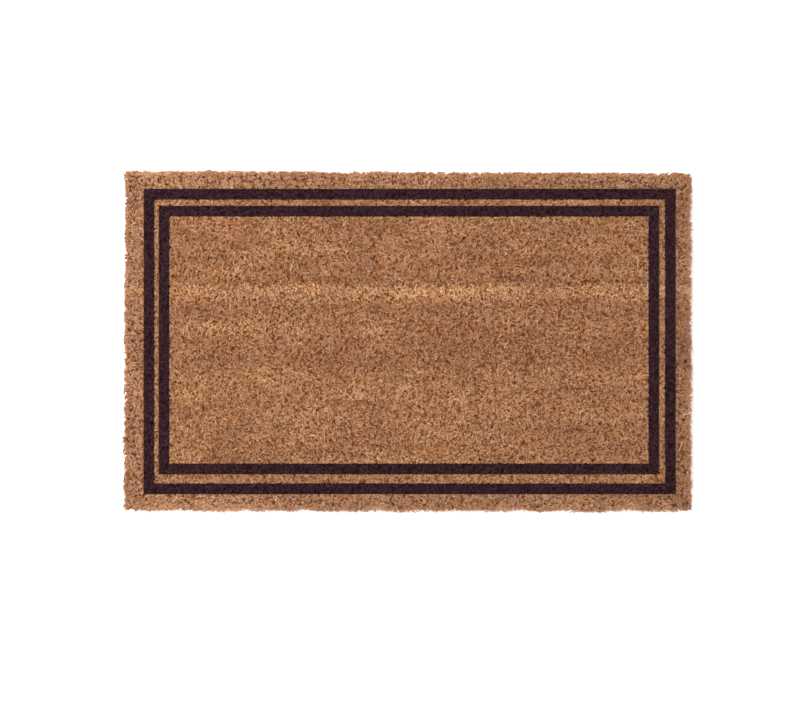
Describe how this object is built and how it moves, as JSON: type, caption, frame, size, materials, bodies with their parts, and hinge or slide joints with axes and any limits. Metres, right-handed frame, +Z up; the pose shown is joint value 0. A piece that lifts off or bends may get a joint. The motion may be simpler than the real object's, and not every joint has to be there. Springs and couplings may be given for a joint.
{
  "type": "door mat",
  "caption": "Thick hand-woven coir door mat with a dyed double border on cut pile, for wiping shoes at a door.",
  "frame": {"origin": "centre of the underside, on the floor", "axes": "+X along the mat's long side, +Y across it from front to back, +Z up out of the pile"},
  "size_m": [0.762, 0.457, 0.038],
  "materials": {
    "natural_pile": "matte",
    "dyed_pile": "matte",
    "coir_yarn": "matte",
    "lashing_twine": "matte"
  },
  "bodies": {
    "root": {"chain_warp_01": "coir_yarn", "chain_warp_02": "coir_yarn", "chain_warp_03": "coir_yarn", "chain_warp_04": "coir_yarn", "chain_warp_05": "coir_yarn", "chain_warp_06": "coir_yarn", "chain_warp_07": "coir_yarn", "chain_warp_08": "coir_yarn", "chain_warp_09": "coir_yarn", "chain_warp_10": "coir_yarn", "chain_warp_11": "coir_yarn", "chain_warp_12": "coir_yarn", "chain_warp_13": "coir_yarn", "chain_warp_14": "coir_yarn", "chain_warp_15": "coir_yarn", "chain_warp_16": "coir_yarn", "chain_warp_17": "coir_yarn", "chain_warp_18": "coir_yarn", "chain_warp_19": "coir_yarn", "chain_warp_20": "coir_yarn", "chain_warp_21": "coir_yarn", "weft_yarn": "coir_yarn", "edge_cord_front": "coir_yarn", "lashing_twine_front": "lashing_twine", "edge_cord_back": "coir_yarn", "lashing_twine_back": "lashing_twine", "edge_cord_left": "coir_yarn", "lashing_twine_left": "lashing_twine", "edge_cord_right": "coir_yarn", "lashing_twine_right": "lashing_twine", "pile_margin_front": "natural_pile", "pile_margin_back": "natural_pile", "pile_margin_left": "natural_pile", "pile_margin_right": "natural_pile", "pile_outer_border_front": "dyed_pile", "pile_outer_border_back": "dyed_pile", "pile_outer_border_left": "dyed_pile", "pile_outer_border_right": "dyed_pile", "pile_gap_front": "natural_pile", "pile_gap_back": "natural_pile", "pile_gap_left": "natural_pile", "pile_gap_right": "natural_pile", "pile_inner_border_front": "dyed_pile", "pile_inner_border_back": "dyed_pile", "pile_inner_border_left": "dyed_pile", "pile_inner_border_right": "dyed_pile", "pile_field": "natural_pile"}
  },
  "joints": []
}
